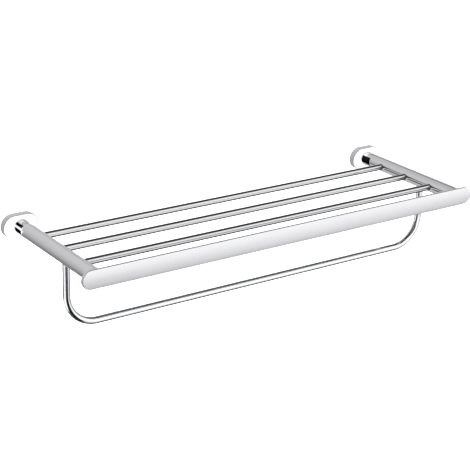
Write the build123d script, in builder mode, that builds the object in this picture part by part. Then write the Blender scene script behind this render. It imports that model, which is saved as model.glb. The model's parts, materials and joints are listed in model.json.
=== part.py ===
from build123d import *
import os

# Wall-hung towel rack with a shelf: two round arms stand out from the wall on short
# posts, carry three shelf rods and a flat front rail between them, and hold a bent
# towel bar below. Millimetres, +Z up, front of the rack towards -Y.
# The origin lies on the wall, midway between the arms, at the height of their centre lines.

os.makedirs("parts", exist_ok=True)

LEFT = -1
RIGHT = 1
SIDES = {"left": LEFT, "right": RIGHT}

# Driving dimensions of the rack
RAIL_LENGTH = 600.0
RAIL_OVERHANG = 20.7
RACK_DEPTH = 206.2
BAR_DROP = 92.0
arm_spacing = RAIL_LENGTH - 2 * RAIL_OVERHANG

# Fits and tools
FIT_CLEARANCE = 0.05
OVERRUN = 1.0

# Rosette: the obround cover over each wall bracket
ROSETTE_WIDTH = 49.5
ROSETTE_HEIGHT = 32.3
ROSETTE_DEPTH = 8.7
ROSETTE_WALL = 1.8
ROSETTE_FRONT = 2.5
ROSETTE_CHAMFER = 1.0
ROSETTE_LUG_WIDTH = 9.0
ROSETTE_LUG_HEIGHT = 3.0
rosette_cavity = ROSETTE_DEPTH - ROSETTE_FRONT

# Wall bracket: the plate screwed to the wall inside each rosette
BRACKET_THICKNESS = 5.0
BRACKET_CLEARANCE = 0.25
BRACKET_BORE_RADIUS = 6.5
WALL_SCREW_INSET = 6.7
WALL_SCREW_HOLE_RADIUS = 2.5
WALL_SCREW_SINK_RADIUS = 4.7
bracket_width = ROSETTE_WIDTH - 2 * (ROSETTE_WALL + BRACKET_CLEARANCE)
bracket_height = ROSETTE_HEIGHT - 2 * (ROSETTE_WALL + BRACKET_CLEARANCE)
wall_screw_spacing = bracket_width - 2 * WALL_SCREW_INSET

# Post: the round spacer between rosette and arm
POST_DIAMETER = 18.5
POST_LENGTH = 18.2
POST_CHAMFER = 0.3

# Screw that draws arm, post and rosette together, with its washer
SCREW_RADIUS = 3.0
SCREW_HOLE_CLEARANCE = 0.3
SCREW_HEAD_RADIUS = 5.0
SCREW_HEAD_HEIGHT = 3.4
SCREW_SOCKET_FLATS = 4.0
SCREW_SOCKET_DEPTH = 2.0
SCREW_ENGAGEMENT = 14.0
SCREW_POINT_CHAMFER = 0.8
TAPPED_END_PLAY = 3.0
WASHER_RADIUS = 5.5
WASHER_THICKNESS = 1.0
screw_hole_radius = SCREW_RADIUS + SCREW_HOLE_CLEARANCE

# Arm: a round bar, a little thicker than its post
ARM_DIAMETER = 19.6
ARM_END_CHAMFER = 0.7
arm_radius = ARM_DIAMETER / 2
arm_back = ROSETTE_DEPTH + POST_LENGTH

# Front rail: a flat obround strip with a crowned front
RAIL_HEIGHT = 24.0
RAIL_THICKNESS = 4.8
RAIL_CROWN = 1.2
RAIL_EDGE_RADIUS = 0.8
RAIL_OFFSET = 0.6
rail_back = RACK_DEPTH - RAIL_THICKNESS
arm_length = rail_back - arm_back

# Shelf rods: round tubes let into the arms
ROD_DIAMETER = 9.0
ROD_WALL = 1.0
ROD_SOCKET_DEPTH = 12.0
ROD_END_PLAY = 0.2
FIRST_ROD_DEPTH = 52.1
FRONT_ROD_SETBACK = 47.5
ROD_NAMES = ["shelf_rod_rear", "shelf_rod_middle", "shelf_rod_front"]
arm_face = arm_spacing / 2 - arm_radius
rod_pitch = (rail_back - FRONT_ROD_SETBACK - FIRST_ROD_DEPTH) / (len(ROD_NAMES) - 1)
rod_depths = [FIRST_ROD_DEPTH + rod_pitch * index for index in range(len(ROD_NAMES))]

# Towel bar: a rod bent down and across in front of the middle shelf rod, its ends
# drilled for pins and seated in the arms
BAR_DIAMETER = 9.3
BAR_BEND_RADIUS = 41.5
BAR_SETBACK = 23.6
BAR_SEAT_DEPTH = 3.0
BAR_PIN_RADIUS = 3.0
BAR_PIN_INSERT = 10.0
BAR_PIN_REACH = 6.0
bar_depth = FIRST_ROD_DEPTH + rod_pitch + BAR_SETBACK
bar_top = -arm_radius + BAR_SEAT_DEPTH

# Spigots that carry the rail on the arms' front ends
SPIGOT_RADIUS = 4.0
SPIGOT_IN_ARM = 14.0
SPIGOT_IN_RAIL = 2.0
SPIGOT_END_PLAY = 0.5
PIN_CHAMFER = 0.4

# Set screws, all entered from below
ROSETTE_SET_SCREW_RADIUS = 2.0
ROD_SET_SCREW_RADIUS = 1.5
RAIL_SET_SCREW_RADIUS = 2.0
RAIL_SET_SCREW_INSET = 7.0
SET_SCREW_RECESS = 0.4


def wall_plane(side, depth):
    """Plane square to the wall's normal on an arm's centre line, `depth` in front of the wall."""
    return Plane(origin=(side * arm_spacing / 2, -depth, 0), x_dir=(1, 0, 0), z_dir=(0, -1, 0))


def level_plane(x, depth, height):
    """Level plane looking up, at x and `depth` in front of the wall."""
    return Plane(origin=(x, -depth, height), x_dir=(1, 0, 0), z_dir=(0, 0, 1))


def finish(solid, name):
    """Labels a finished piece and writes it out."""
    solid.label = name
    export_step(solid, f"parts/{name}.step")
    return solid


def make_wall_bracket(side):
    """Obround plate with a countersunk wall hole at each end and a bore round the arm screw's head."""
    with BuildPart() as bracket:
        with BuildSketch(wall_plane(side, 0)):
            SlotOverall(bracket_width, bracket_height)
            Circle(BRACKET_BORE_RADIUS, mode=Mode.SUBTRACT)
            with Locations((0, -bracket_height / 2)):
                notch_width = ROSETTE_LUG_WIDTH + 2 * BRACKET_CLEARANCE
                Rectangle(notch_width, 2 * ROSETTE_LUG_HEIGHT, mode=Mode.SUBTRACT)
        extrude(amount=BRACKET_THICKNESS)
        with Locations(wall_plane(side, BRACKET_THICKNESS)):
            with GridLocations(wall_screw_spacing, 0, 2, 1):
                CounterSinkHole(WALL_SCREW_HOLE_RADIUS, WALL_SCREW_SINK_RADIUS)
    return bracket.part


def rosette_set_screw_place(side):
    """Place of the set screw under a rosette: x, depth, lower end and upper end."""
    top = -bracket_height / 2 + ROSETTE_LUG_HEIGHT - FIT_CLEARANCE
    return side * arm_spacing / 2, BRACKET_THICKNESS / 2, -ROSETTE_HEIGHT / 2 + SET_SCREW_RECESS, top


def make_rosette(side):
    """Hollow obround cover with an eased front edge and a lug for the set screw below."""
    with BuildPart() as rosette:
        with BuildSketch(wall_plane(side, 0)):
            SlotOverall(ROSETTE_WIDTH, ROSETTE_HEIGHT)
        extrude(amount=ROSETTE_DEPTH)
        chamfer(rosette.edges().group_by(Axis.Y)[0], ROSETTE_CHAMFER)
        with BuildSketch(wall_plane(side, 0)):
            SlotOverall(ROSETTE_WIDTH - 2 * ROSETTE_WALL, ROSETTE_HEIGHT - 2 * ROSETTE_WALL)
            with Locations((0, -ROSETTE_HEIGHT / 2 + ROSETTE_WALL)):
                Rectangle(ROSETTE_LUG_WIDTH, 2 * ROSETTE_LUG_HEIGHT, mode=Mode.SUBTRACT)
        extrude(amount=rosette_cavity, mode=Mode.SUBTRACT)
        with BuildSketch(wall_plane(side, 0)):
            Circle(screw_hole_radius)
        extrude(amount=ROSETTE_DEPTH + OVERRUN, mode=Mode.SUBTRACT)
        x, depth, bottom, top = rosette_set_screw_place(side)
        with BuildSketch(level_plane(x, depth, bottom - OVERRUN)):
            Circle(ROSETTE_SET_SCREW_RADIUS + FIT_CLEARANCE)
        extrude(amount=top - bottom + 2 * OVERRUN, mode=Mode.SUBTRACT)
    return rosette.part


def make_post(side):
    """Short round post, bored for the arm's screw."""
    with BuildPart() as post:
        with BuildSketch(wall_plane(side, ROSETTE_DEPTH)):
            Circle(POST_DIAMETER / 2)
        extrude(amount=POST_LENGTH)
        chamfer(post.edges().filter_by(GeomType.CIRCLE), POST_CHAMFER)
        with BuildSketch(wall_plane(side, ROSETTE_DEPTH)):
            Circle(screw_hole_radius)
        extrude(amount=POST_LENGTH, mode=Mode.SUBTRACT)
    return post.part


def make_arm(side):
    """Arm with its sockets for rods, towel bar, screw and spigot."""
    with BuildPart() as arm:
        with BuildSketch(wall_plane(side, arm_back)):
            Circle(arm_radius)
        extrude(amount=arm_length)
        chamfer(arm.edges().group_by(Axis.Y)[-1], ARM_END_CHAMFER)

        # Blind sockets for the shelf rods, from the inner side
        inner_plane = Plane(
            origin=(side * (arm_face + ROD_SOCKET_DEPTH), 0, 0),
            x_dir=(0, 1, 0),
            z_dir=(-side, 0, 0),
        )
        with BuildSketch(inner_plane):
            with Locations([(-depth, 0) for depth in rod_depths]):
                Circle(ROD_DIAMETER / 2 + FIT_CLEARANCE)
        extrude(amount=ROD_SOCKET_DEPTH + OVERRUN, mode=Mode.SUBTRACT)

        # Tapped hole for the screw behind, and bore for the rail's spigot in front
        with BuildSketch(wall_plane(side, arm_back)):
            Circle(SCREW_RADIUS + FIT_CLEARANCE)
        extrude(amount=SCREW_ENGAGEMENT + TAPPED_END_PLAY, mode=Mode.SUBTRACT)
        with BuildSketch(wall_plane(side, rail_back - SPIGOT_IN_ARM)):
            Circle(SPIGOT_RADIUS + FIT_CLEARANCE)
        extrude(amount=SPIGOT_IN_ARM, mode=Mode.SUBTRACT)

        # Stepped seat for the towel bar and its pin, from below
        x = side * arm_spacing / 2
        with BuildSketch(level_plane(x, bar_depth, -arm_radius)):
            Circle(BAR_DIAMETER / 2 + FIT_CLEARANCE)
        extrude(amount=BAR_SEAT_DEPTH, mode=Mode.SUBTRACT)
        with BuildSketch(level_plane(x, bar_depth, bar_top)):
            Circle(BAR_PIN_RADIUS + FIT_CLEARANCE)
        extrude(amount=BAR_PIN_REACH, mode=Mode.SUBTRACT)

        # Tapped holes for the set screws, from below
        for place in rod_set_screw_places(side):
            with BuildSketch(level_plane(place[0], place[1], -arm_radius - OVERRUN)):
                Circle(ROD_SET_SCREW_RADIUS + FIT_CLEARANCE)
            extrude(amount=arm_radius + OVERRUN, mode=Mode.SUBTRACT)
        place = rail_set_screw_place(side)
        with BuildSketch(level_plane(place[0], place[1], -arm_radius - OVERRUN)):
            Circle(RAIL_SET_SCREW_RADIUS + FIT_CLEARANCE)
        extrude(amount=arm_radius + OVERRUN, mode=Mode.SUBTRACT)
    return arm.part


def rod_set_screw_places(side):
    """Places of the set screws under the rod sockets: x, depth, lower end and upper end."""
    bottom = -arm_radius + SET_SCREW_RECESS
    top = -ROD_DIAMETER / 2 - FIT_CLEARANCE
    return [(side * arm_spacing / 2, depth, bottom, top) for depth in rod_depths]


def rail_set_screw_place(side):
    """Place of the set screw under the rail's spigot: x, depth, lower end and upper end."""
    bottom = -arm_radius + SET_SCREW_RECESS
    top = -SPIGOT_RADIUS - FIT_CLEARANCE
    return side * arm_spacing / 2, rail_back - RAIL_SET_SCREW_INSET, bottom, top


def make_set_screws(places, radius):
    """Group of upright headless set screws."""
    with BuildPart() as screws:
        for x, depth, bottom, top in places:
            with BuildSketch(level_plane(x, depth, bottom)):
                Circle(radius)
            extrude(amount=top - bottom)
    return screws.part


def make_arm_screws():
    """Socket screws that run from inside each rosette through the post into the arm."""
    with BuildPart() as screws:
        for side in SIDES.values():
            seat = rosette_cavity - WASHER_THICKNESS
            with BuildSketch(wall_plane(side, seat - SCREW_HEAD_HEIGHT)):
                Circle(SCREW_HEAD_RADIUS)
            extrude(amount=SCREW_HEAD_HEIGHT)
            with BuildSketch(wall_plane(side, seat)):
                Circle(SCREW_RADIUS)
            extrude(amount=arm_back + SCREW_ENGAGEMENT - seat)
            with BuildSketch(wall_plane(side, seat - SCREW_HEAD_HEIGHT)):
                RegularPolygon(SCREW_SOCKET_FLATS / 2, 6, major_radius=False)
            extrude(amount=SCREW_SOCKET_DEPTH, mode=Mode.SUBTRACT)
        points = screws.edges().filter_by(GeomType.CIRCLE).group_by(Axis.Y)[0]
        chamfer(points, SCREW_POINT_CHAMFER)
    return screws.part


def make_washers():
    """Washers between the screw heads and the rosettes' front walls."""
    with BuildPart() as washers:
        for side in SIDES.values():
            with BuildSketch(wall_plane(side, rosette_cavity - WASHER_THICKNESS)):
                Circle(WASHER_RADIUS)
                Circle(screw_hole_radius, mode=Mode.SUBTRACT)
            extrude(amount=WASHER_THICKNESS)
    return washers.part


def make_rod(depth):
    """Shelf rod: a straight tube that ends inside both arms."""
    half_length = arm_face + ROD_SOCKET_DEPTH - ROD_END_PLAY
    with BuildPart() as rod:
        with BuildSketch(Plane.YZ.offset(-half_length)):
            with Locations((-depth, 0)):
                Circle(ROD_DIAMETER / 2)
                Circle(ROD_DIAMETER / 2 - ROD_WALL, mode=Mode.SUBTRACT)
        extrude(amount=2 * half_length)
    return rod.part


def rail_section():
    """Section of the rail, seen from its end: flat back, crowned front, rounded front corners."""
    half_height = RAIL_HEIGHT / 2
    crown_depth = RACK_DEPTH - RAIL_CROWN
    with BuildSketch() as section:
        with BuildLine():
            ThreePointArc((-crown_depth, -half_height), (-RACK_DEPTH, 0), (-crown_depth, half_height))
            Line((-crown_depth, half_height), (-rail_back, half_height))
            Line((-rail_back, half_height), (-rail_back, -half_height))
            Line((-rail_back, -half_height), (-crown_depth, -half_height))
        make_face()
        fillet(section.vertices().group_by(Axis.X)[0], RAIL_EDGE_RADIUS)
    return section.sketch


def rail_plane(x):
    """Plane square to the rail at x, level with the rail's centre line."""
    return Plane(origin=(x, 0, -RAIL_OFFSET), x_dir=(0, 1, 0), z_dir=(1, 0, 0))


def make_rail():
    """Front rail: the section run along X, then turned half round about each end."""
    straight = RAIL_LENGTH / 2 - RAIL_HEIGHT / 2
    with BuildPart() as rail:
        with BuildSketch(rail_plane(-straight)):
            add(rail_section())
        extrude(amount=2 * straight)
        for side in SIDES.values():
            with BuildSketch(rail_plane(side * straight)):
                add(rail_section())
                with Locations((-RACK_DEPTH / 2, RAIL_HEIGHT / 2)):
                    Rectangle(RACK_DEPTH + OVERRUN, RAIL_HEIGHT, mode=Mode.INTERSECT)
            turn_axis = Axis((side * straight, 0, -RAIL_OFFSET), (0, side, 0))
            revolve(axis=turn_axis, revolution_arc=180)
        for side in SIDES.values():
            with BuildSketch(wall_plane(side, rail_back - OVERRUN)):
                Circle(SPIGOT_RADIUS + FIT_CLEARANCE)
            extrude(amount=SPIGOT_IN_RAIL + OVERRUN, mode=Mode.SUBTRACT)
    return rail.part


def make_spigots():
    """Pins fixed in the back of the rail that slide into the arms' front ends."""
    with BuildPart() as spigots:
        for side in SIDES.values():
            with BuildSketch(wall_plane(side, rail_back - SPIGOT_IN_ARM + SPIGOT_END_PLAY)):
                Circle(SPIGOT_RADIUS)
            extrude(amount=SPIGOT_IN_ARM - SPIGOT_END_PLAY + SPIGOT_IN_RAIL)
        chamfer(spigots.edges().group_by(Axis.Y)[-1], PIN_CHAMFER)
    return spigots.part


def make_bar_pins():
    """Pins that reach from the towel bar's drilled ends into the arms above."""
    with BuildPart() as pins:
        for side in SIDES.values():
            x = side * arm_spacing / 2
            with BuildSketch(level_plane(x, bar_depth, bar_top - BAR_PIN_INSERT)):
                Circle(BAR_PIN_RADIUS)
            extrude(amount=BAR_PIN_INSERT + BAR_PIN_REACH)
        chamfer(pins.edges().group_by(Axis.Z)[-1], PIN_CHAMFER)
    return pins.part


def make_towel_bar():
    """Towel bar: one rod bent down from each arm and across, with a drilled hole in each end."""
    reach = arm_spacing / 2
    with BuildPart() as bar:
        with BuildLine(Plane.XZ.offset(bar_depth)) as route:
            FilletPolyline(
                (-reach, bar_top),
                (-reach, -BAR_DROP),
                (reach, -BAR_DROP),
                (reach, bar_top),
                radius=BAR_BEND_RADIUS,
            )
        with BuildSketch(Plane(origin=route.wire() @ 0, z_dir=route.wire() % 0)):
            Circle(BAR_DIAMETER / 2)
        sweep()
        for side in SIDES.values():
            with BuildSketch(level_plane(side * reach, bar_depth, bar_top - BAR_PIN_INSERT)):
                Circle(BAR_PIN_RADIUS + FIT_CLEARANCE)
            extrude(amount=BAR_PIN_INSERT, mode=Mode.SUBTRACT)
    return bar.part


for side_name, side in SIDES.items():
    finish(make_wall_bracket(side), f"wall_bracket_{side_name}")
    finish(make_rosette(side), f"rosette_{side_name}")
    finish(make_post(side), f"post_{side_name}")
    finish(make_arm(side), f"arm_{side_name}")

for rod_name, rod_depth in zip(ROD_NAMES, rod_depths):
    finish(make_rod(rod_depth), rod_name)

finish(make_rail(), "front_rail")
finish(make_spigots(), "rail_spigots")
finish(make_towel_bar(), "towel_bar")
finish(make_bar_pins(), "bar_end_pins")
finish(make_arm_screws(), "arm_screws")
finish(make_washers(), "arm_screw_washers")

rosette_places = [rosette_set_screw_place(side) for side in SIDES.values()]
rod_places = [place for side in SIDES.values() for place in rod_set_screw_places(side)]
rail_places = [rail_set_screw_place(side) for side in SIDES.values()]
finish(make_set_screws(rosette_places, ROSETTE_SET_SCREW_RADIUS), "rosette_set_screws")
finish(make_set_screws(rod_places, ROD_SET_SCREW_RADIUS), "rod_set_screws")
finish(make_set_screws(rail_places, RAIL_SET_SCREW_RADIUS), "rail_set_screws")
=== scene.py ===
import json
import math

import bmesh
import bpy
from mathutils import Matrix, Vector

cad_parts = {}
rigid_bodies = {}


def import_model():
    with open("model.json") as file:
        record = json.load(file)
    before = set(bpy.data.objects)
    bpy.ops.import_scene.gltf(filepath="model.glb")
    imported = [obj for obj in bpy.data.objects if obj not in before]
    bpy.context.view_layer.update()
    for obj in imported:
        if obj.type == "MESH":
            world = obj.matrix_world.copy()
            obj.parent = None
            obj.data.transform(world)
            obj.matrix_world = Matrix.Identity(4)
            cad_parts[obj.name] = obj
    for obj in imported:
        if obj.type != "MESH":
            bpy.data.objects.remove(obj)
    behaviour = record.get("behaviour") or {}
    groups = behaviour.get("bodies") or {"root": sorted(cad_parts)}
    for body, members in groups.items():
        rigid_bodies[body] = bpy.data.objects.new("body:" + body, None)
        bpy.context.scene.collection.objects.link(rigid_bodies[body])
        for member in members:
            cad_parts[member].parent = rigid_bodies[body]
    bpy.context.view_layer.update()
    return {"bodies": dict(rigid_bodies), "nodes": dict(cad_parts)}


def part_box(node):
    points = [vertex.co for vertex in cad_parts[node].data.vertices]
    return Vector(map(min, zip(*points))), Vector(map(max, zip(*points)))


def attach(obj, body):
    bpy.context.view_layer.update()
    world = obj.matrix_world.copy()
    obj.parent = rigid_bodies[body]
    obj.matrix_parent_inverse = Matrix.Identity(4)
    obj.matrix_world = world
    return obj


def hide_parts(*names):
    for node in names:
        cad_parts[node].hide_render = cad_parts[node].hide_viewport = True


bl_info = {
    "name": "Towel rack with shelf",
    "version": (1, 0, 0),
    "blender": (4, 5, 0),
    "location": "View3D > Sidebar > Towel rack",
    "description": "Builds the finished pieces of a wall towel rack round its packed solids",
    "category": "Object",
}

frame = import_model()

MM = 0.001
BODY = next(iter(frame["bodies"]))
SIDES = {"left": -1, "right": 1}
ROD_NODES = ["shelf_rod_rear", "shelf_rod_middle", "shelf_rod_front"]
SCREW_NODES = ["rosette_set_screws", "rod_set_screws", "rail_set_screws"]
FIXING_NODES = [
    "wall_bracket_left", "wall_bracket_right", "arm_screws", "arm_screw_washers", "rail_spigots", "bar_end_pins",
]  # fmt: skip
CLEARANCE = 0.05 * MM
SCREW_BORE = 3.3 * MM
PIN_BORE = 3.05 * MM
ARM_SCREW_RADIUS = 3 * MM
OVERRUN = 1 * MM
LUG_ROOT = 0.5 * MM
ARM_RING_PITCH = 1.6 * MM

# Camera of the photograph, fitted to the rack's edges: place in metres, then heading, downward tilt and roll in
# degrees, then the picture's shift.
CAMERA_PLACE = (-0.99704, -1.49471, 0.62066)
CAMERA_ANGLES = (-34.03, 20.93, 1.25)
CAMERA_SHIFT = (0.0528, -0.0035)


def middle(node):
    """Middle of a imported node's box."""
    low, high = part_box(node)
    return (Vector(low) + Vector(high)) / 2


def extent(node):
    """Length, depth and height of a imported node's box."""
    low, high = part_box(node)
    return Vector(high) - Vector(low)


def front(node):
    """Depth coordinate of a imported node's front."""
    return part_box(node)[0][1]


def back(node):
    """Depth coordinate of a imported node's back."""
    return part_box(node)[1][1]


def length(name, description, default):
    """Length property of a property group."""
    return bpy.props.FloatProperty(
        name=name, description=description, default=default, min=0.0, precision=5, unit="LENGTH", subtype="DISTANCE"
    )


def share(name, description, default):
    """Property from 0 to 1 of a property group."""
    return bpy.props.FloatProperty(
        name=name, description=description, default=default, min=0.0, max=1.0, precision=3, subtype="FACTOR"
    )


def power(name, description, default):
    """Lamp power property of a property group."""
    return bpy.props.FloatProperty(name=name, description=description, default=default, min=0.0, unit="POWER")


def colour(name, description, default):
    """Colour property of a property group."""
    return bpy.props.FloatVectorProperty(
        name=name, description=description, default=default, min=0.0, max=1.0, size=3, subtype="COLOR"
    )


class RackSizes(bpy.types.PropertyGroup):
    """Sizes of the rack's pieces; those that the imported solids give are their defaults."""

    arm_edge: length("Arm end edge", "Rounding of the arms' wall ends", 0.7 * MM)
    post_edge: length("Post edge", "Rounding of the posts' ends", 0.3 * MM)
    rod_diameter: length("Rod diameter", "Outside diameter of the shelf rods", extent(ROD_NODES[0]).z)
    bar_diameter: length("Bar diameter", "Diameter of the towel bar", extent("towel_bar").y)
    bar_bend: length("Bar bend", "Bend radius of the towel bar's centre line", 41.5 * MM)
    rail_crown: length("Rail crown", "Rise of the rail's crowned front", 1.2 * MM)
    rail_edge: length("Rail edge", "Rounding of the rail's front edge", 0.8 * MM)
    rail_back_edge: length("Rail back edge", "Rounding of the rail's back edge", 0.3 * MM)
    rosette_edge: length("Rosette edge", "Rounding of the rosettes' front edge", 1.2 * MM)
    rosette_corner: length("Rosette corner", "Rounding of the rosettes' inner corner", 0.5 * MM)
    rosette_wall: length("Rosette wall", "Thickness of the rosettes' side wall", 1.8 * MM)
    rosette_front: length("Rosette front", "Thickness of the rosettes' front wall", 2.5 * MM)
    lug_width: length("Lug width", "Width of the rosettes' lug for the set screw", 9 * MM)
    screw_socket: share("Screw socket", "Width of a set screw's hexagon socket as a share of its diameter", 0.55)


class RackFinishes(bpy.types.PropertyGroup):
    """Colours and gloss of the rack's finishes."""

    chrome_colour: colour("Chrome", "Colour of the polished chrome", (0.90, 0.905, 0.915))
    chrome_roughness: share("Chrome roughness", "Roughness of the polished chrome", 0.035)
    rod_colour: colour("Shelf rods", "Colour of the shelf rods' chrome", (0.70, 0.705, 0.71))
    satin_colour: colour("Satin chrome", "Colour of the satin chrome", (0.80, 0.80, 0.81))
    satin_roughness: share("Rail roughness", "Roughness of the front rail's satin chrome", 0.26)
    arm_roughness: share("Arm roughness", "Roughness of the arms' satin chrome", 0.1)
    rosette_colour: colour("Rosettes", "Colour of the rosettes' faces", (0.97, 0.97, 0.975))
    # Painted reflection: this dark grey stands in for what the rosettes' rounded edges and sides mirror.
    rosette_edge_painted_reflection: colour("Rosette edges", "Colour of the rosettes' edges and sides", (0.24, 0.24, 0.245))
    rosette_roughness: share("Rosette roughness", "Roughness of the rosettes' faces", 0.45)
    zinc_colour: colour("Zinc", "Colour of the zinc-plated fixings", (0.60, 0.61, 0.64))
    steel_colour: colour("Set screws", "Colour of the stainless set screws", (0.48, 0.48, 0.50))


class StudioSetup(bpy.types.PropertyGroup):
    """Camera, floor and light."""

    focal_length: bpy.props.FloatProperty(
        name="Focal length", description="Focal length of the camera", default=106.76, min=1.0, unit="CAMERA"
    )
    floor_level: bpy.props.FloatProperty(
        name="Floor level", description="Height of the floor", default=-0.55, unit="LENGTH", subtype="DISTANCE"
    )
    floor_colour: colour("Floor", "Colour of the floor", (0.93, 0.93, 0.93))
    lamp_power: power("Lamp power", "Power of the soft lamp over the floor", 420.0)
    face_lamp_power: power("Face lamp power", "Power of the soft lamp before the rack", 60.0)
    room_light: bpy.props.FloatProperty(
        name="Room light", description="Strength of the light panels round the rack", default=1.0, min=0.0
    )


class Signal:
    """One output socket of a node tree. Python's operators on it add Math nodes."""

    def __init__(self, graph, socket):
        self.graph = graph
        self.socket = socket

    def math(self, operation, *others):
        """Math node with this signal first."""
        inputs = {0: self, **{place + 1: other for place, other in enumerate(others)}}
        return self.graph.add("ShaderNodeMath", {"operation": operation}, inputs)

    def __add__(self, other):
        return self.math("ADD", other)

    __radd__ = __add__

    def __mul__(self, other):
        return self.math("MULTIPLY", other)

    __rmul__ = __mul__

    def __sub__(self, other):
        return self.math("SUBTRACT", other)

    def __rsub__(self, other):
        return self.math("MULTIPLY", -1) + other

    def smooth(self, start, end):
        """0 at start and 1 at end with a soft step between them."""
        settings = {"interpolation_type": "SMOOTHSTEP"}
        return self.graph.add("ShaderNodeMapRange", settings, {0: self, 1: start, 2: end})


class Graph:
    """Node tree in the making."""

    def __init__(self, tree):
        self.tree = tree
        tree.nodes.clear()

    def add(self, kind, settings=None, inputs=None, output=0):
        """Adds a node: first its settings, then the values or links of its inputs. Returns one output."""
        node = self.tree.nodes.new(kind)
        for name, value in (settings or {}).items():
            if name == "stops":
                self.set_stops(node.color_ramp, value)
            else:
                setattr(node, name, value)
        for name, value in (inputs or {}).items():
            if isinstance(value, Signal):
                self.tree.links.new(value.socket, node.inputs[name])
            else:
                node.inputs[name].default_value = value
        return Signal(self, node.outputs[output]) if node.outputs else node

    @staticmethod
    def set_stops(ramp, stops):
        """Gives a colour ramp its stops, as pairs of place and grey value."""
        while len(ramp.elements) < len(stops):
            ramp.elements.new(1.0)
        for element, (place, grey) in zip(ramp.elements, stops):
            element.position = place
            element.color = (grey, grey, grey, 1.0)

    def other(self, signal, output):
        """Another output of a signal's node."""
        return Signal(self, signal.socket.node.outputs[output])

    def noise(self, place, stretch, detail=2.0):
        """Noise with a scale for each axis, about 0.5."""
        scaled = self.add("ShaderNodeVectorMath", {"operation": "MULTIPLY"}, {0: place, 1: stretch})
        return self.add("ShaderNodeTexNoise", None, {"Vector": scaled, "Scale": 1.0, "Detail": detail})

    def panels(self, turn, stops):
        """Brightness by angle, from pairs of degrees and brightness."""
        top = max(grey for _, grey in stops)
        places = [((angle + 180) / 360, grey / top) for angle, grey in stops]
        return self.add("ShaderNodeValToRGB", {"stops": places}, {0: turn}) * top

    def blend(self, factor, first, second):
        """Colour between two, by factor."""
        inputs = {0: factor, 6: (*first, 1.0), 7: (*second, 1.0)}
        return self.add("ShaderNodeMix", {"data_type": "RGBA"}, inputs, output=2)


def metal(name, base, shine, relief, strength, depth, metallic=1.0, rim_tint=1.0):
    """Metal material: base colour, roughness and a bump of that strength and depth, each made by a function of
    the tree and the place. The rim tint darkens what a curved surface mirrors close to its outline."""
    material = bpy.data.materials.new(name)
    material.use_nodes = True
    graph = Graph(material.node_tree)
    place = graph.add("ShaderNodeTexCoord", output="Object")
    bump = graph.add("ShaderNodeBump", None, {"Strength": strength, "Distance": depth, "Height": relief(graph, place)})
    inputs = {
        "Base Color": base(graph, place),
        "Metallic": metallic,
        "Specular Tint": (rim_tint, rim_tint, rim_tint, 1.0),
        "Roughness": shine(graph, place),
        "Normal": bump,
    }
    surface = graph.add("ShaderNodeBsdfPrincipled", None, inputs)
    graph.add("ShaderNodeOutputMaterial", None, {"Surface": surface})
    return material


def tinted(paint, darker):
    """Base colour that varies a little between a colour and a darker one."""
    shade = tuple(part * darker for part in paint)

    def base(graph, place):
        return graph.blend(graph.noise(place, (35.0, 35.0, 35.0), 3.0), shade, tuple(paint))

    return base


def polished_chrome(name, paint, roughness):
    """Mirror chrome: faint wiping marks and haze in its gloss, and the plating's fine orange peel."""

    def shine(graph, place):
        haze = graph.noise(place, (22.0, 22.0, 22.0), 4.0).smooth(0.48, 0.78)
        marks = graph.noise(place, (90.0, 900.0, 900.0), 2.0).smooth(0.52, 0.8)
        return haze * 0.035 + marks * 0.02 + roughness

    def relief(graph, place):
        return graph.noise(place, (420.0, 420.0, 420.0), 2.0)

    return metal(name, tinted(paint, 0.985), shine, relief, 0.02, 0.05 * MM)


def post_chrome(finishes, axis):
    """Mirror chrome of the posts, with painted reflections. The soft rosettes behind them mirror nothing sharply, so
    the dark and bright bands that a post would mirror beside a bright wall cover are painted into its base colour, by
    angle round its axis from the outer side."""

    def base(graph, place):
        x = graph.add("ShaderNodeSeparateXYZ", None, {0: place})
        outward = x.math("ABSOLUTE") - axis
        turn = graph.other(x, 2).math("ARCTAN2", outward) * (0.5 / math.pi) + 0.5
        # Painted reflections: bands of mirrored light and dark, laid into the base colour by angle round the post.
        painted_reflection_bands = graph.panels(turn, [
            (-180, 0.0), (-152, 0.0), (-147, 0.9), (-80, 0.8), (-75, 0.0), (6, 0.0), (11, 1.0), (25, 1.0), (29, 0.0),
            (50, 0.0), (54, 0.7), (90, 1.0), (139, 1.0), (144, 0.0),
        ])  # fmt: skip
        # Painted reflection: near-black base colour for the dark bands a post would mirror.
        dark = (0.012, 0.012, 0.013)
        return graph.blend(painted_reflection_bands, dark, tuple(finishes.chrome_colour))

    def shine(graph, place):
        return graph.noise(place, (60.0, 60.0, 60.0), 3.0) * 0.04 + finishes.chrome_roughness

    def relief(graph, place):
        return graph.noise(place, (420.0, 420.0, 420.0), 2.0)

    return metal("post_chrome", base, shine, relief, 0.02, 0.05 * MM, rim_tint=0.15)


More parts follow.
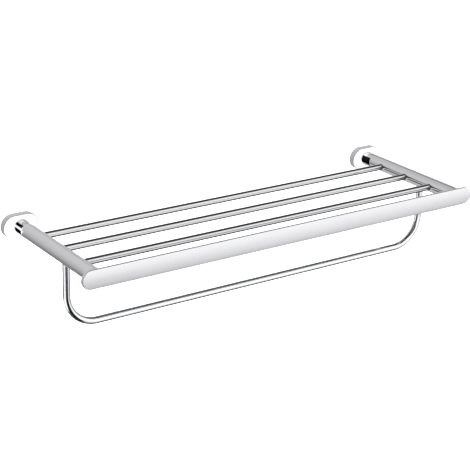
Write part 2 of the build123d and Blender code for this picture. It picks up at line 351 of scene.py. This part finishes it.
def rosette_chrome(finishes, centre, size):
    """Satin chrome of the rosettes: a pearl-white, finely brushed face inside a glossier edge and side whose dark grey
    is a painted reflection, with a painted shade line round the face's rim.
    """
    face = centre.y - size.y / 2
    radius = size.z / 2

    def inside(graph, place):
        x = graph.add("ShaderNodeSeparateXYZ", None, {0: place})
        y, z = graph.other(x, 1), graph.other(x, 2) - centre.z
        past = ((x.math("ABSOLUTE") - centre.x).math("ABSOLUTE") - (size.x / 2 - radius)).math("MAXIMUM", 0.0)
        out = (past * past + z * z).math("SQRT")
        # Painted shade: a thin line round the face's rim takes the dark edge colour, stronger along the top than along
        # the bottom.
        rim = out.smooth(radius - 1.5 * MM, radius - 1.25 * MM) * (z.smooth(-8 * MM, 6 * MM) * 0.75 + 0.25)
        # Painted reflection: behind the front face, the rounded edge and the side take the dark edge colour.
        return y.smooth(face + 0.32 * MM, face + 0.04 * MM) * (1 - rim)

    def brushing(graph, place):
        return graph.noise(place, (45.0, 2600.0, 2600.0), 2.0)

    def base(graph, place):
        cloud = graph.noise(place, (60.0, 60.0, 60.0), 3.0) * 0.5
        factor = inside(graph, place) * (cloud + 0.75).smooth(0.0, 1.0)
        # The edge colour is a painted reflection of the rounded edge and side.
        return graph.blend(factor, tuple(finishes.rosette_edge_painted_reflection), tuple(finishes.rosette_colour))

    def shine(graph, place):
        return inside(graph, place) * (finishes.rosette_roughness - 0.22) + brushing(graph, place) * 0.06 + 0.19

    return metal("rosette_chrome", base, shine, brushing, 0.035, 0.03 * MM, 0.3)


def satin_chrome(name, paint, roughness, along):
    """Satin chrome with its grain along one axis."""
    stretch = [2600.0, 2600.0, 2600.0]
    stretch["XYZ".index(along)] = 45.0

    def grain(graph, place):
        return graph.noise(place, tuple(stretch), 2.0)

    def shine(graph, place):
        return grain(graph, place) * 0.07 + graph.noise(place, (30.0, 30.0, 30.0), 3.0) * 0.05 + (roughness - 0.06)

    return metal(name, tinted(paint, 0.97), shine, grain, 0.035, 0.03 * MM)


def zinc_plate(finishes):
    """Zinc-plated steel: mottled, with rolled marks."""

    def base(graph, place):
        mottle = graph.noise(place, (260.0, 260.0, 260.0), 5.0).smooth(0.35, 0.7)
        paint = tuple(finishes.zinc_colour)
        warm = (paint[0] * 0.86, paint[1] * 0.84, paint[2] * 0.78)
        return graph.blend(mottle, warm, paint)

    def shine(graph, place):
        return graph.noise(place, (320.0, 320.0, 320.0), 4.0) * 0.2 + 0.26

    def relief(graph, place):
        return graph.noise(place, (1800.0, 240.0, 240.0), 3.0)

    return metal("zinc_plate", base, shine, relief, 0.12, 0.06 * MM)


def screw_steel(finishes):
    """Stainless steel of the set screws, with turned marks."""

    def shine(graph, place):
        return graph.noise(place, (3000.0, 3000.0, 500.0), 2.0) * 0.2 + 0.2

    def relief(graph, place):
        return graph.noise(place, (2200.0, 2200.0, 900.0), 3.0)

    return metal("screw_steel", tinted(finishes.steel_colour, 0.9), shine, relief, 0.15, 0.05 * MM)


def pale_floor(paint):
    """Plain matt floor."""
    material = bpy.data.materials.new("pale_floor")
    material.use_nodes = True
    graph = Graph(material.node_tree)
    place = graph.add("ShaderNodeTexCoord", output="Object")
    cloud = graph.noise(place, (2.0, 2.0, 2.0), 2.0)
    base = graph.blend(cloud, tuple(part * 0.985 for part in paint), tuple(paint))
    surface = graph.add("ShaderNodeBsdfPrincipled", None, {"Base Color": base, "Roughness": 0.9})
    graph.add("ShaderNodeOutputMaterial", None, {"Surface": surface})
    return material


def finish_of(name):
    """Material by its name, made when it is first asked for."""
    if name in bpy.data.materials:
        return bpy.data.materials[name]
    finishes = bpy.context.scene.rack_finishes
    if name == "polished_chrome":
        return polished_chrome(name, finishes.chrome_colour, finishes.chrome_roughness)
    if name == "rod_chrome":
        return polished_chrome(name, finishes.rod_colour, finishes.chrome_roughness)
    if name == "post_chrome":
        return post_chrome(finishes, middle("post_right").x)
    if name == "rosette_chrome":
        return rosette_chrome(finishes, middle("rosette_right"), extent("rosette_right"))
    if name == "satin_chrome_arm":
        return satin_chrome(name, finishes.satin_colour, finishes.arm_roughness, "Y")
    if name == "satin_chrome_rail":
        return satin_chrome(name, finishes.satin_colour, finishes.satin_roughness, "X")
    if name == "zinc_plate":
        return zinc_plate(finishes)
    return screw_steel(finishes)


def rounded(stations, corners, steps=8):
    """Outline with some corners rounded: corners gives a radius for the place of each such point."""
    outline = []
    for place, point in enumerate(stations):
        radius = corners.get(place)
        point = Vector(point)
        if radius is None:
            outline.append(point)
            continue
        before = (Vector(stations[place - 1]) - point).normalized()
        after = (Vector(stations[(place + 1) % len(stations)]) - point).normalized()
        half = before.angle(after) / 2
        reach = radius / math.tan(half)
        centre = point + (before + after).normalized() * radius / math.sin(half)
        start = point + before * reach - centre
        end = point + after * reach - centre
        turn = start.angle_signed(end)
        for step in range(steps + 1):
            outline.append(centre + Matrix.Rotation(-turn * step / steps, 2) @ start)
    return outline


def obround_solid(name, outline, straight, centre, turn_steps):
    """Closed solid: an outline of distances from the centre line and depths, carried round an obround whose
    half turns are 2 x straight apart. Straight 0 gives a round body."""
    ring = []
    for end in (1, -1):
        last = turn_steps + 1 if straight else turn_steps
        for step in range(last):
            angle = math.pi * step / turn_steps - end * math.pi / 2
            ring.append((end * straight, math.cos(angle), math.sin(angle)))
    mesh = bmesh.new()
    rows = [
        [mesh.verts.new((centre.x + start + out * cos, depth, centre.z + out * sin)) for start, cos, sin in ring]
        for out, depth in outline
    ]
    for row, following in zip(rows, rows[1:]):
        for place in range(len(ring)):
            beside = (place + 1) % len(ring)
            mesh.faces.new((row[place], row[beside], following[beside], following[place]))
    bmesh.ops.remove_doubles(mesh, verts=mesh.verts, dist=1e-7)
    bmesh.ops.dissolve_degenerate(mesh, edges=mesh.edges, dist=1e-7)
    bmesh.ops.recalc_face_normals(mesh, faces=mesh.faces)
    return as_object(name, mesh)


def as_object(name, mesh):
    """Object of a finished bmesh."""
    data = bpy.data.meshes.new(name)
    mesh.to_mesh(data)
    mesh.free()
    thing = bpy.data.objects.new(name, data)
    bpy.context.scene.collection.objects.link(thing)
    return thing


def pegs(name, bodies, segments=64):
    """Object of separate round pegs, each from one point to another with a radius."""
    mesh = bmesh.new()
    for start, end, radius in bodies:
        start, end = Vector(start), Vector(end)
        axis = end - start
        turn = axis.to_track_quat("Z", "Y").to_matrix().to_4x4()
        bmesh.ops.create_cone(
            mesh,
            cap_ends=True,
            segments=segments,
            radius1=radius,
            radius2=radius,
            depth=axis.length,
            matrix=Matrix.Translation((start + end) / 2) @ turn,
        )
    return as_object(name, mesh)


def settle(thing):
    """Turns an object's modifiers into its plain mesh."""
    graph = bpy.context.evaluated_depsgraph_get()
    made = bpy.data.meshes.new_from_object(thing.evaluated_get(graph), depsgraph=graph)
    thing.modifiers.clear()
    before = thing.data
    thing.data = made
    made.name = thing.name
    bpy.data.meshes.remove(before)


def combine(thing, tool, operation="DIFFERENCE"):
    """Cuts a tool out of an object, or joins it on, and deletes the tool."""
    modifier = thing.modifiers.new(operation.lower(), "BOOLEAN")
    modifier.operation = operation
    modifier.solver = "EXACT"
    modifier.object = tool
    settle(thing)
    shape = tool.data
    bpy.data.objects.remove(tool)
    bpy.data.meshes.remove(shape)


def complete(thing, material, nodes, sharp=32.0):
    """Gives a piece its shading, its material and its place in the rack."""
    data = thing.data
    if not data.polygons:
        raise RuntimeError(f"{thing.name} has no faces")
    data.materials.clear()
    data.materials.append(finish_of(material))
    data.polygons.foreach_set("material_index", [0] * len(data.polygons))
    data.shade_smooth()
    data.set_sharp_from_angle(angle=math.radians(sharp))
    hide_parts(*nodes)
    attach(thing, BODY)


def steps_between(start, end, pitch):
    """Depths from start to end about a pitch apart, both ends included."""
    count = max(1, round(abs(end - start) / pitch))
    return [start + (end - start) * step / count for step in range(count + 1)]


class NodeMesh:
    """Geometry Nodes tree with named inputs, run on a base mesh."""

    def __init__(self, name, inputs):
        self.tree = bpy.data.node_groups.new(name, "GeometryNodeTree")
        self.graph = Graph(self.tree)
        face = self.tree.interface
        face.new_socket("Geometry", in_out="INPUT", socket_type="NodeSocketGeometry")
        self.keys = {}
        for label, default in inputs.items():
            socket = face.new_socket(label, in_out="INPUT", socket_type="NodeSocketFloat")
            socket.default_value = default
            self.keys[label] = socket.identifier
        face.new_socket("Geometry", in_out="OUTPUT", socket_type="NodeSocketGeometry")
        self.source = self.graph.add("NodeGroupInput")

    def value(self, label):
        """Signal of a named input."""
        return self.graph.other(self.source, label)

    def end(self, shape, material):
        """Ends the tree in real faces with their material."""
        real = self.graph.add("GeometryNodeRealizeInstances", None, {0: shape})
        done = self.graph.add("GeometryNodeSetMaterial", None, {"Geometry": real, "Material": finish_of(material)})
        self.graph.add("NodeGroupOutput", None, {0: done})

    def run(self, thing, values):
        """Runs the tree on an object with these values and leaves the plain mesh."""
        modifier = thing.modifiers.new(self.tree.name, "NODES")
        modifier.node_group = self.tree
        for label, value in values.items():
            modifier[self.keys[label]] = value
        settle(thing)


def vectors(graph, x=0.0, y=0.0, z=0.0):
    """Vector of three values or signals."""
    return graph.add("ShaderNodeCombineXYZ", None, {0: x, 1: y, 2: z})


def line_object(name, points):
    """Object of points joined by straight edges."""
    mesh = bmesh.new()
    verts = [mesh.verts.new(point) for point in points]
    for one, following in zip(verts, verts[1:]):
        mesh.edges.new((one, following))
    return as_object(name, mesh)


def points_object(name, points):
    """Object of loose points."""
    mesh = bmesh.new()
    for point in points:
        mesh.verts.new(point)
    return as_object(name, mesh)


def swept_tube(name):
    """Tree that rounds a path's corners and sweeps a round section along it."""
    made = NodeMesh(name, {"Diameter": 9 * MM, "Bend radius": 40 * MM})
    graph = made.graph
    path = graph.add("GeometryNodeMeshToCurve", None, {"Mesh": made.source})
    corners = {"Curve": path, "Count": 56, "Radius": made.value("Bend radius"), "Limit Radius": True}
    bent = graph.add("GeometryNodeFilletCurve", {"mode": "POLY"}, corners)
    circle = {"Resolution": 96, "Radius": made.value("Diameter") * 0.5}
    section = graph.add("GeometryNodeCurvePrimitiveCircle", None, circle)
    sweep = {"Curve": bent, "Profile Curve": section, "Fill Caps": True}
    swept = graph.add("GeometryNodeCurveToMesh", None, sweep)
    return made, swept


class RACK_OT_arms(bpy.types.Operator):
    """Two round satin arms, bored for the rods, the towel bar and their screws"""

    bl_idname = "rack.arms"
    bl_label = "Arms"

    def execute(self, context):
        sizes = context.scene.rack_sizes
        for side_name, side in SIDES.items():
            node = f"arm_{side_name}"
            centre = middle(node)
            radius = extent(node).z / 2
            start, end = back(node), front(node)
            edge = sizes.arm_edge
            shoulder = start - 4 * edge
            corner = rounded([(0, start), (radius, start), (radius, shoulder)], {1: edge})
            body = [(radius, depth) for depth in steps_between(shoulder, end, ARM_RING_PITCH)]
            arm = obround_solid(node + "_satin", [*corner[:-1], *body, (0, end)], 0.0, centre, 72)

            rod_radius = sizes.rod_diameter / 2 + CLEARANCE
            sockets = []
            for rod in ROD_NODES:
                rod_end = extent(rod).x / 2 * side
                depth = middle(rod).y
                sockets.append(((rod_end, depth, centre.z), (rod_end - side * 4 * radius, depth, centre.z), rod_radius))
            bar_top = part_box("towel_bar")[1][2]
            bar_depth = middle("towel_bar").y
            low = centre.z - 2 * radius
            bar_radius = sizes.bar_diameter / 2 + CLEARANCE
            sockets.append(((centre.x, bar_depth, bar_top), (centre.x, bar_depth, low), bar_radius))
            screw_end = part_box("arm_screws")[0][1]
            screw_radius = ARM_SCREW_RADIUS + CLEARANCE
            sockets.append(((centre.x, screw_end, centre.z), (centre.x, start + radius, centre.z), screw_radius))
            spigot_start = back("rail_spigots")
            spigot_radius = extent("rail_spigots").z / 2 + CLEARANCE
            sockets.append(((centre.x, spigot_start, centre.z), (centre.x, end - radius, centre.z), spigot_radius))
            combine(arm, pegs("sockets", sockets))

            holes = []
            for x, y, top, screw_radius in set_screw_places():
                if x * side > 0 and y < start:
                    holes.append(((x, y, top), (x, y, low), screw_radius + CLEARANCE))
            combine(arm, pegs("screw_holes", holes, 48))
            complete(arm, "satin_chrome_arm", [node])
        return {"FINISHED"}


class RACK_OT_posts(bpy.types.Operator):
    """Two polished posts between rosettes and arms"""

    bl_idname = "rack.posts"
    bl_label = "Posts"

    def execute(self, context):
        edge = context.scene.rack_sizes.post_edge
        for side_name in SIDES:
            node = f"post_{side_name}"
            centre, radius = middle(node), extent(node).z / 2
            start, end = back(node), front(node)
            stations = [(radius, start), (radius, end), (SCREW_BORE, end), (SCREW_BORE, start)]
            outline = rounded([stations[-1], *stations], {1: edge, 2: edge})
            post = obround_solid(node + "_polished", outline, 0.0, centre, 72)
            complete(post, "post_chrome", [node])
        return {"FINISHED"}


class RACK_OT_rosettes(bpy.types.Operator):
    """Two obround wall covers, hollow behind, with a lug for the set screw"""

    bl_idname = "rack.rosettes"
    bl_label = "Rosettes"

    def execute(self, context):
        sizes = context.scene.rack_sizes
        for side_name in SIDES:
            node = f"rosette_{side_name}"
            centre, size = middle(node), extent(node)
            radius = size.z / 2
            straight = size.x / 2 - radius
            start, end = back(node), front(node)
            inner, floor = radius - sizes.rosette_wall, end + sizes.rosette_front
            outline = rounded(
                [(0, end), (radius, end), (radius, start), (inner, start), (inner, floor), (0, floor)],
                {1: sizes.rosette_edge, 4: sizes.rosette_corner},
            )
            rosette = obround_solid(node + "_satin", outline, straight, centre, 56)
            screw = middle("rosette_set_screws")
            screw_radius = extent("rosette_set_screws").y / 2
            lug_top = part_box("rosette_set_screws")[1][2]
            lug = bmesh.new()
            lug_low = centre.z - radius + sizes.rosette_wall / 2
            rooted = floor - LUG_ROOT
            lug_size = Matrix.Diagonal((sizes.lug_width, start - rooted, lug_top - lug_low, 1))
            lug_middle = Matrix.Translation((centre.x, (start + rooted) / 2, (lug_top + lug_low) / 2))
            bmesh.ops.create_cube(lug, size=1.0, matrix=lug_middle @ lug_size)
            combine(rosette, as_object("lug", lug), "UNION")
            above, below = (centre.x, screw.y, lug_top + OVERRUN), (centre.x, screw.y, centre.z - 2 * radius)
            holes = [
                ((centre.x, start, centre.z), (centre.x, end - radius, centre.z), SCREW_BORE),
                (above, below, screw_radius + CLEARANCE),
            ]
            combine(rosette, pegs("holes", holes))
            complete(rosette, "rosette_chrome", [node])
        return {"FINISHED"}


class RACK_OT_shelf_rods(bpy.types.Operator):
    """Three shelf rods a pitch apart, their ends in the arms"""

    bl_idname = "rack.shelf_rods"
    bl_label = "Shelf rods"

    def execute(self, context):
        sizes = context.scene.rack_sizes
        made, rod = swept_tube("shelf_rods")
        made.end(rod, "rod_chrome")
        for node in ROD_NODES:
            place, reach = middle(node), extent(node).x / 2
            points = [place + Vector((step * reach / 8, 0, 0)) for step in range(-8, 9)]
            thing = line_object(node + "_polished", points)
            made.run(thing, {"Diameter": sizes.rod_diameter, "Bend radius": 0.0})
            complete(thing, "rod_chrome", [node])
        return {"FINISHED"}


class RACK_OT_towel_bar(bpy.types.Operator):
    """Towel bar, swept along its bent path"""

    bl_idname = "rack.towel_bar"
    bl_label = "Towel bar"

    def execute(self, context):
        sizes = context.scene.rack_sizes
        low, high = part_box("towel_bar")
        depth, radius = middle("towel_bar").y, sizes.bar_diameter / 2
        reach, drop = high[0] - radius, low[2] + radius
        path = [(-reach, depth, high[2]), (-reach, depth, drop), (reach, depth, drop), (reach, depth, high[2])]
        bar = line_object("towel_bar_polished", path)
        made, swept = swept_tube("bent_bar")
        made.end(swept, "polished_chrome")
        made.run(bar, {"Diameter": sizes.bar_diameter, "Bend radius": sizes.bar_bend})
        pin_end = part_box("bar_end_pins")[0][2]
        bores = [
            ((side * reach, depth, high[2] + radius), (side * reach, depth, pin_end), PIN_BORE)
            for side in SIDES.values()
        ]
        combine(bar, pegs("pin_bores", bores))
        complete(bar, "polished_chrome", ["towel_bar"])
        return {"FINISHED"}


class RACK_OT_front_rail(bpy.types.Operator):
    """Flat front rail with round ends and a crowned front"""

    bl_idname = "rack.front_rail"
    bl_label = "Front rail"

    def execute(self, context):
        sizes = context.scene.rack_sizes
        node = "front_rail"
        centre, size = middle(node), extent(node)
        half = size.z / 2
        straight = size.x / 2 - half
        nose, start = front(node), back(node)
        crown = sizes.rail_crown
        bow = (half * half + crown * crown) / (2 * crown)

        def fall(out):
            """How far the crown falls back at a distance from the rail's centre line."""
            return bow - math.sqrt(bow * bow - out * out)

        steps = 16
        stations = [(half * step / steps, nose + fall(half * step / steps)) for step in range(steps + 1)]
        stations += [(half, start), (0, start)]
        outline = rounded(stations, {steps: sizes.rail_edge, steps + 1: sizes.rail_back_edge})
        rail = obround_solid("front_rail_satin", outline, straight, centre, 56)
        # The crown curves over the rail's height only: at the round ends it is drawn forward again.
        for vert in rail.data.vertices:
            past, height = max(0.0, abs(vert.co.x) - straight), abs(vert.co.z - centre.z)
            if vert.co.y < nose + crown + sizes.rail_edge:
                vert.co.y -= fall(min(half, math.hypot(past, height))) - fall(min(half, height))
        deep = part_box("rail_spigots")[0][1]
        bore = extent("rail_spigots").z / 2 + CLEARANCE
        bores = []
        for side in SIDES:
            arm = middle(f"arm_{side}")
            bores.append(((arm.x, deep, arm.z), (arm.x, start + half, arm.z), bore))
        combine(rail, pegs("spigot_bores", bores))
        complete(rail, "satin_chrome_rail", [node])
        return {"FINISHED"}


def set_screw_places():
    """Each set screw's place in length and depth, its upper end and its radius."""
    places = []
    for node in SCREW_NODES:
        for x, y in screw_columns(node):
            places.append((x, y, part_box(node)[1][2], screw_radius_of(node)))
    return places


def screw_columns(node):
    """Where the screws of a packed group stand, left and right."""
    x = middle("arm_right").x
    if node == "rod_set_screws":
        return [(side * x, middle(rod).y) for side in SIDES.values() for rod in ROD_NODES]
    return [(side * x, middle(node).y) for side in SIDES.values()]


def screw_radius_of(node):
    """Radius of a packed group's screws, from how far they stand out past the arms' centre lines."""
    return extent(node).x / 2 - middle("arm_right").x


class RACK_OT_set_screws(bpy.types.Operator):
    """Headless set screws with hexagon sockets, seen from below"""

    bl_idname = "rack.set_screws"
    bl_label = "Set screws"

    def execute(self, context):
        sizes = context.scene.rack_sizes
        made = NodeMesh("set_screws", {"Radius": 2 * MM, "Length": 4 * MM, "Socket": 0.55})
        graph = made.graph
        radius, long = made.value("Radius"), made.value("Length")
        body = graph.add("GeometryNodeMeshCylinder", None, {"Vertices": 40, "Radius": radius, "Depth": long})
        hollow = graph.add(
            "GeometryNodeMeshCylinder",
            None,
            {"Vertices": 6, "Radius": radius * made.value("Socket"), "Depth": long},
        )
        lowered = graph.add(
            "GeometryNodeTransform", None, {"Geometry": hollow, "Translation": vectors(graph, z=long * -0.6)}
        )
        cut = graph.add("GeometryNodeMeshBoolean", {"operation": "DIFFERENCE"}, {0: body, 1: lowered})
        spread = graph.add("GeometryNodeInstanceOnPoints", None, {"Points": made.source, "Instance": cut})
        made.end(spread, "screw_steel")
        for node in SCREW_NODES:
            low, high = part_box(node)
            places = [(x, y, (low[2] + high[2]) / 2) for x, y in screw_columns(node)]
            screws = points_object(node + "_socketed", places)
            made.run(
                screws,
                {"Radius": screw_radius_of(node), "Length": high[2] - low[2], "Socket": sizes.screw_socket},
            )
            complete(screws, "screw_steel", [node])
        return {"FINISHED"}


class RACK_OT_wall_fixings(bpy.types.Operator):
    """Zinc-plated finish of the brackets, screws, washers, spigots and pins"""

    bl_idname = "rack.wall_fixings"
    bl_label = "Wall fixings"

    def execute(self, context):
        for name in FIXING_NODES:
            node = frame["nodes"].get(name)
            if node is None:
                raise RuntimeError(f"the frame has no node {name}")
            node.data.materials.clear()
            node.data.materials.append(finish_of("zinc_plate"))
        return {"FINISHED"}


def light_room(world, strength):
    """Light panels and dark flags round the rack, by direction: what the chrome mirrors. The camera and the
    matt surfaces see plain white. Angles run in degrees round the rods, from the wall's side over the top."""
    world.use_nodes = True
    graph = Graph(world.node_tree)
    way = graph.add("ShaderNodeTexCoord", output="Generated")
    x = graph.add("ShaderNodeSeparateXYZ", None, {0: way})
    y, z = graph.other(x, 1), graph.other(x, 2)
    turn = z.math("ARCTAN2", y) * (0.5 / math.pi) + 0.5
    right_ring = graph.panels(turn, [
        (-180, 1.25), (-165, 1.18), (-155, 1.08), (-137, 0.9), (-127, 0.42), (-119, 0.08), (-60, 0.05), (-34, 0.6),
        (-12, 0.62), (20, 0.6), (33, 0.48), (39, 0.3), (46, 0.07), (105, 0.05), (114, 0.3), (122, 1.1), (150, 1.2),
    ])  # fmt: skip
    left_ring = graph.panels(turn, [
        (-180, 1.2), (-145, 1.1), (-120, 0.4), (-105, 0.12), (-65, 0.12), (-42, 0.2), (-30, 0.3), (-12, 0.52),
        (15, 0.64), (34, 0.72), (46, 0.62), (58, 0.3), (72, 0.1), (118, 0.1), (130, 0.6), (140, 1.3),
    ])  # fmt: skip
    left_panel = (x * -1).smooth(0.42, 0.58) * y.smooth(0.62, 0.42) * z.smooth(0.12, 0.0) * z.smooth(-0.92, -0.84)
    upper_left = x.smooth(-0.05, -0.2) * y.smooth(0.4, 0.25) * z.smooth(0.0, 0.12)
    left = left_ring + (1.2 - left_ring) * left_panel
    left = left * (1 - upper_left * 0.92)
    ring = left + (right_ring - left) * x.smooth(0.26, 0.4)
    ring = ring + (0.42 - ring) * x.smooth(0.84, 0.94)
    grey_card = y.smooth(0.79, 0.74) * y.smooth(0.5, 0.6) * x.smooth(0.45, 0.35) * z.smooth(-0.34, -0.4)
    ring = ring + (0.58 - ring) * grey_card

    # The dark flags draw the black lines of the towel bar's legs. Bearings run in degrees from straight ahead of
    # the rack to its right.
    bearing = x.math("ARCTAN2", y * -1) * (180 / math.pi)
    front_flag = bearing.smooth(-54, -47) * bearing.smooth(26, 21) * z.smooth(-0.335, -0.35)
    side_flag = bearing.smooth(-98, -92) * bearing.smooth(-34, -40) * z.smooth(-0.375, -0.36) * z.smooth(0.16, 0.04)
    right_flag = bearing.smooth(48, 54) * bearing.smooth(88, 80) * z.smooth(-0.28, -0.3) * z.smooth(-0.46, -0.38)
    left_flag = (x * -1).smooth(0.48, 0.54) * y.smooth(0.28, 0.36) * y.smooth(0.8, 0.74) * z.smooth(-0.33, -0.35)
    left_flag = left_flag * z.smooth(-0.52, -0.46)
    light = ring
    for flag, depth in ((front_flag, 0.98), (side_flag, 0.96), (right_flag, 0.6), (left_flag, 0.92)):
        light = light * (1 - flag * depth)
    path = graph.add("ShaderNodeLightPath", output="Is Camera Ray")
    seen = path.math("MAXIMUM", graph.other(path, "Is Diffuse Ray"))
    value = seen + (1 - seen) * light
    paint = graph.add("ShaderNodeCombineColor", None, {0: value, 1: value, 2: value * 1.01})
    panel = graph.add("ShaderNodeBackground", None, {"Color": paint, "Strength": strength})
    graph.add("ShaderNodeOutputWorld", None, {"Surface": panel})


def soft_lamp(name, place, turn, size, watts):
    """Square lamp that no surface mirrors, turned from shining straight down."""
    lamp = bpy.data.lights.new(name, "AREA")
    lamp.shape = "RECTANGLE"
    lamp.size = lamp.size_y = size
    lamp.energy = watts
    thing = bpy.data.objects.new(name, lamp)
    thing.matrix_world = Matrix.LocRotScale(Vector(place), turn, None)
    thing.visible_glossy = False
    bpy.context.scene.collection.objects.link(thing)


class RACK_OT_stage(bpy.types.Operator):
    """Camera at the photograph's angle, pale floor and soft light"""

    bl_idname = "rack.stage"
    bl_label = "Stage"

    def execute(self, context):
        scene = context.scene
        studio = scene.studio_setup
        lens = bpy.data.cameras.new("camera")
        camera = bpy.data.objects.new("camera", lens)
        scene.collection.objects.link(camera)
        scene.camera = camera
        lens.sensor_width = 36.0
        lens.lens = studio.focal_length
        lens.shift_x, lens.shift_y = CAMERA_SHIFT
        lens.clip_start, lens.clip_end = 0.05, 50.0
        heading, drop, roll = (math.radians(angle) for angle in CAMERA_ANGLES)
        ahead = Vector((-math.sin(heading) * math.cos(drop), math.cos(heading) * math.cos(drop), -math.sin(drop)))
        right = Vector((math.cos(heading), math.sin(heading), 0.0))
        up = right.cross(ahead)
        side = right * math.cos(roll) + up * math.sin(roll)
        top = up * math.cos(roll) - right * math.sin(roll)
        turn = Matrix((side, top, -ahead)).transposed()
        camera.matrix_world = Matrix.LocRotScale(Vector(CAMERA_PLACE), turn.to_quaternion(), None)

        mesh = bmesh.new()
        bmesh.ops.create_grid(mesh, x_segments=8, y_segments=8, size=12.0)
        bmesh.ops.translate(mesh, verts=mesh.verts, vec=(0, 0, studio.floor_level))
        floor = as_object("floor", mesh)
        floor.data.materials.append(pale_floor(studio.floor_colour))
        floor.visible_glossy = False

        soft_lamp("soft_lamp", (0.3, 1.0, 3.2), None, 6.0, studio.lamp_power)
        before = (-1.2, -3.4, 1.6)
        soft_lamp("face_lamp", before, Vector(before).to_track_quat("Z", "Y"), 1.5, studio.face_lamp_power)

        scene.world = bpy.data.worlds.new("light_room")
        light_room(scene.world, studio.room_light)
        scene.view_settings.view_transform = "Standard"
        return {"FINISHED"}


PIECES = [
    RACK_OT_arms,
    RACK_OT_posts,
    RACK_OT_rosettes,
    RACK_OT_shelf_rods,
    RACK_OT_towel_bar,
    RACK_OT_front_rail,
    RACK_OT_set_screws,
    RACK_OT_wall_fixings,
    RACK_OT_stage,
]


class RACK_PT_panel(bpy.types.Panel):
    """Sizes, finishes and pieces of the towel rack"""

    bl_idname = "RACK_PT_panel"
    bl_label = "Towel rack"
    bl_space_type = "VIEW_3D"
    bl_region_type = "UI"
    bl_category = "Towel rack"

    def draw(self, context):
        scene = context.scene
        for group in (scene.rack_sizes, scene.rack_finishes, scene.studio_setup):
            column = self.layout.column(align=True)
            for name in group.bl_rna.properties.keys():
                if name not in ("rna_type", "name"):
                    column.prop(group, name)
        for piece in PIECES:
            self.layout.operator(piece.bl_idname)


GROUPS = {"rack_sizes": RackSizes, "rack_finishes": RackFinishes, "studio_setup": StudioSetup}


def register():
    for name, group in GROUPS.items():
        bpy.utils.register_class(group)
        setattr(bpy.types.Scene, name, bpy.props.PointerProperty(type=group))
    for piece in [*PIECES, RACK_PT_panel]:
        bpy.utils.register_class(piece)


def unregister():
    for piece in [RACK_PT_panel, *reversed(PIECES)]:
        bpy.utils.unregister_class(piece)
    for name, group in GROUPS.items():
        delattr(bpy.types.Scene, name)
        bpy.utils.unregister_class(group)


def main():
    """Builds every piece and the stage."""
    register()
    for piece in PIECES:
        family, name = piece.bl_idname.split(".")
        getattr(getattr(bpy.ops, family), name)()


if __name__ == "__main__":
    main()
